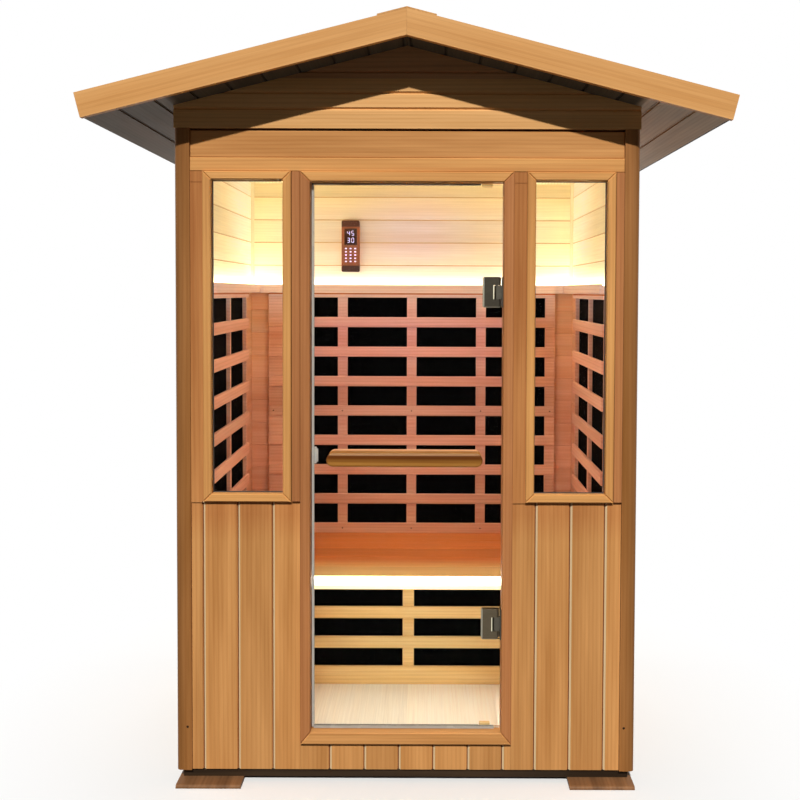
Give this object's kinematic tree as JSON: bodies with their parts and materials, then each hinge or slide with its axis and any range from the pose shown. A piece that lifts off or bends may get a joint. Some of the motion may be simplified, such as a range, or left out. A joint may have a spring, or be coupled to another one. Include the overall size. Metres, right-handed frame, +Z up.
{
  "type": "infrared sauna cabin",
  "caption": "Outdoor timber sauna cabin with a gabled roof, hinged glass door, side windows, a bench, slatted infrared heater guards and cove lights.",
  "frame": {"origin": "on the ground, under the middle of the roof's outline", "axes": "+Z up, -Y out through the door, +X to the hinge side as seen from outside"},
  "size_m": [1.84, 1.327, 2.2357],
  "materials": {
    "cladding": "oiled red cedar boards, golden brown, satin",
    "post": "oiled cedar post, a darker brown, satin",
    "trim": "oiled cedar moulding, satin",
    "handle": "oiled hardwood bar, satin",
    "lining": "pale raw boards, matte",
    "guard": "raw pinkish cedar slats, matte",
    "bench": "raw cedar boards, matte",
    "floor": "pale smooth boards, matte",
    "roof_boards": "grey stained soffit boards, matte",
    "shingles": "mineral-faced bitumen shingles, rough",
    "barge": "oiled cedar barge board, satin",
    "plinth": "dark stained timber, matte",
    "runner": "brown stained timber, matte",
    "glass": "clear tempered glass, polished",
    "hinge": "satin nickel",
    "catch": "light grey, satin",
    "heater": "black carbon heating film, matte",
    "light": "lit diffuser, warm white",
    "control": "copper brown moulding with a lit touch face",
    "power": "dark powder coat"
  },
  "bodies": {
    "cabin": {"left_runner": "runner", "right_runner": "runner", "base_frame": "plinth", "floor_panel": "floor", "post_front_left": "post", "post_front_right": "post", "post_rear_left": "post", "post_rear_right": "post", "right_wall_panel": "cladding", "left_wall_panel": "cladding", "back_wall_panel": "cladding", "right_wall_lining": "lining", "left_wall_lining": "lining", "back_wall_lining": "lining", "front_left_panel": "cladding", "left_window_frame": "trim", "left_window_pane": "glass", "front_right_panel": "cladding", "right_window_frame": "trim", "right_window_pane": "glass", "front_sill_panel": "cladding", "door_jamb_left": "trim", "door_jamb_right": "trim", "door_head": "trim", "door_sill": "trim", "front_top_rail": "trim", "front_frieze_board": "cladding", "hinge_upper_leaf": "hinge", "hinge_lower_leaf": "hinge", "door_catch": "catch", "bench_seat": "bench", "bench_front_guard": "bench", "bench_heater": "heater", "bench_ledger": "bench", "bench_light_strip": "light", "back_guard": "guard", "back_heater": "heater", "left_guard": "guard", "left_heater": "heater", "right_guard": "guard", "right_heater": "heater", "wall_light_strip": "light", "control_panel": "control", "ceiling_panel": "lining", "power_unit": "power", "gable_front": "cladding", "gable_rear": "cladding", "roof_panel_right": "roof_boards", "roof_panel_left": "roof_boards", "roof_shingles": "shingles", "barge_front_right": "barge", "barge_front_left": "barge", "barge_rear_left": "barge", "barge_rear_right": "barge", "ridge_cap": "barge"},
    "door": {"door_glass": "glass", "handle_outer": "handle", "handle_inner": "handle", "hinge_upper_clamp": "hinge", "hinge_lower_clamp": "hinge"}
  },
  "joints": [
    {"name": "door_swing", "type": "hinge", "parent": "cabin", "child": "door", "pos_m": [0.264, -0.5035, 0.959], "axis": [0, 0, 1], "range_deg": [0, 90]}
  ]
}
